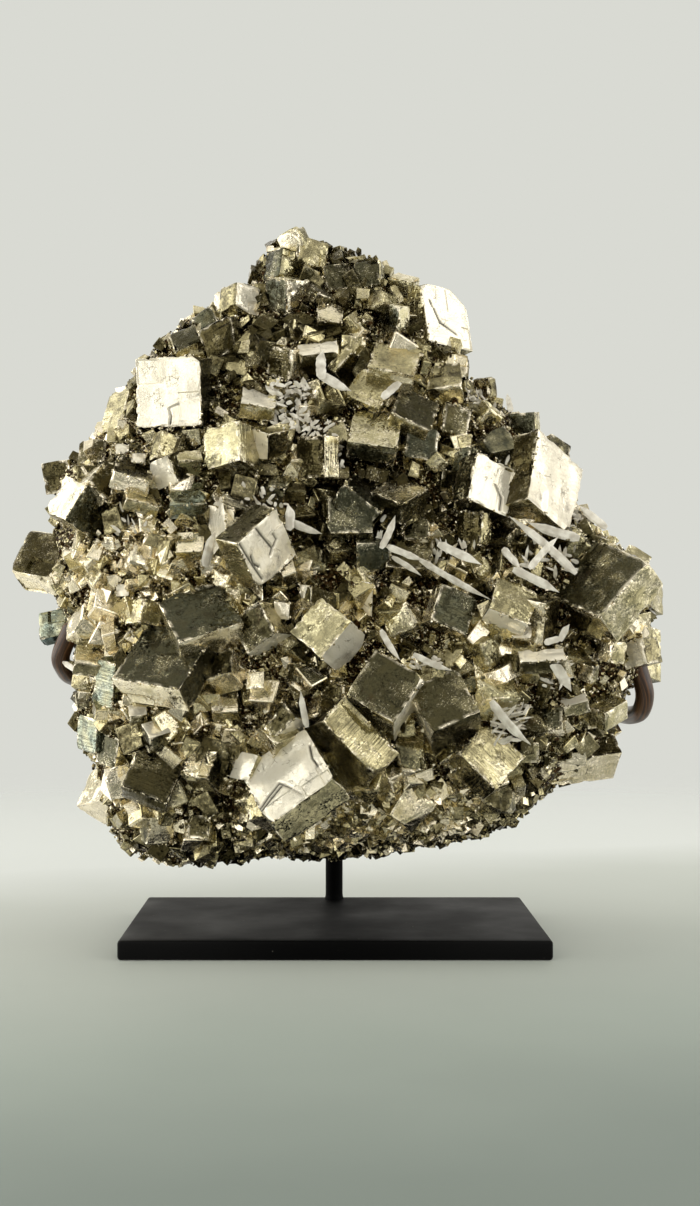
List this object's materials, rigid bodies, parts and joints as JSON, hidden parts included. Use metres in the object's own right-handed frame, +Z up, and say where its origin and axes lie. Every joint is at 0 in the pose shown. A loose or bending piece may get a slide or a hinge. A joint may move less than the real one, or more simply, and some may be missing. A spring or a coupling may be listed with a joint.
{
  "type": "mounted pyrite specimen",
  "caption": "Broad cluster of intergrown pyrite cubes with thin quartz blades, held upright by two hooked rods on a post over a flat black base plate.",
  "frame": {"origin": "middle of the base plate's underside", "axes": "+Z up, -Y towards the side of the specimen that is shown, +X to the right of someone who looks at that side"},
  "size_m": [0.2269, 0.1065, 0.247],
  "materials": {
    "black_paint": "satin",
    "brown_paint": "satin",
    "pyrite": "metallic",
    "quartz": "translucent"
  },
  "bodies": {
    "root": {"base_plate": "black_paint", "post": "black_paint", "left_arm": "brown_paint", "right_arm": "brown_paint", "pyrite_cluster": "pyrite"}
  },
  "joints": []
}
